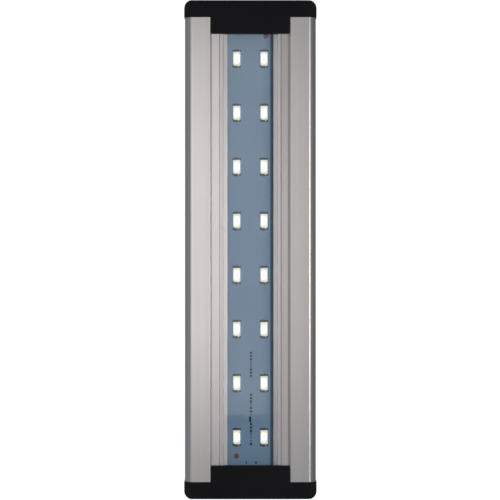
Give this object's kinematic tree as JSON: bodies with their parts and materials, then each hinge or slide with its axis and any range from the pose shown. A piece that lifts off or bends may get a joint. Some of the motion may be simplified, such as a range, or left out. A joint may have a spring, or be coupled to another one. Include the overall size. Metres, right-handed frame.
{
  "type": "led aquarium light",
  "caption": "Slim aluminium aquarium lamp with a recessed board of white LEDs under a clear strip, closed by black T-shaped end caps, with a low-voltage inlet in one end.",
  "frame": {"origin": "middle of the flat back, on the surface the lamp lies on, with its LEDs facing up", "axes": "+X along the lamp, towards the plain cap; +Y across it; +Z out of the lit face, the way the LEDs shine"},
  "size_m": [0.205, 0.0544, 0.0154],
  "materials": {
    "anodised_aluminium": "satin",
    "cap_plastic": "satin",
    "gasket_rubber": "matte",
    "zinc_steel": "satin",
    "lens_acrylic": "polished",
    "silicone": "matte",
    "board_lacquer": "satin",
    "thermal_silicone": "matte",
    "led_package": "satin",
    "copper": "satin",
    "resistor_ceramic": "satin",
    "red_insulation": "satin",
    "black_insulation": "satin",
    "solder": "gloss",
    "inlet_plastic": "satin",
    "nickel_brass": "gloss"
  },
  "bodies": {
    "root": {"housing": "anodised_aluminium", "end_cap_power": "cap_plastic", "end_cap_plain": "cap_plastic", "end_seal_power": "gasket_rubber", "end_seal_plain": "gasket_rubber", "end_cap_screw_1": "zinc_steel", "end_cap_screw_2": "zinc_steel", "end_cap_screw_3": "zinc_steel", "end_cap_screw_4": "zinc_steel", "lens": "lens_acrylic", "lens_seal_left": "silicone", "lens_seal_right": "silicone", "led_board": "board_lacquer", "thermal_pad": "thermal_silicone", "board_rivet_1": "copper", "board_rivet_2": "copper", "resistor_1": "resistor_ceramic", "resistor_2": "resistor_ceramic", "wire_positive": "red_insulation", "wire_negative": "black_insulation", "solder_joint_positive": "solder", "solder_joint_negative": "solder", "dc_jack_body": "inlet_plastic", "dc_jack_pin": "nickel_brass", "dc_jack_contact": "nickel_brass", "dc_jack_nut": "nickel_brass", "dc_jack_seal": "gasket_rubber", "led_01": "led_package", "led_02": "led_package", "led_03": "led_package", "led_04": "led_package", "led_05": "led_package", "led_06": "led_package", "led_07": "led_package", "led_08": "led_package", "led_09": "led_package", "led_10": "led_package", "led_11": "led_package", "led_12": "led_package", "led_13": "led_package", "led_14": "led_package", "led_15": "led_package", "led_16": "led_package"}
  },
  "joints": []
}
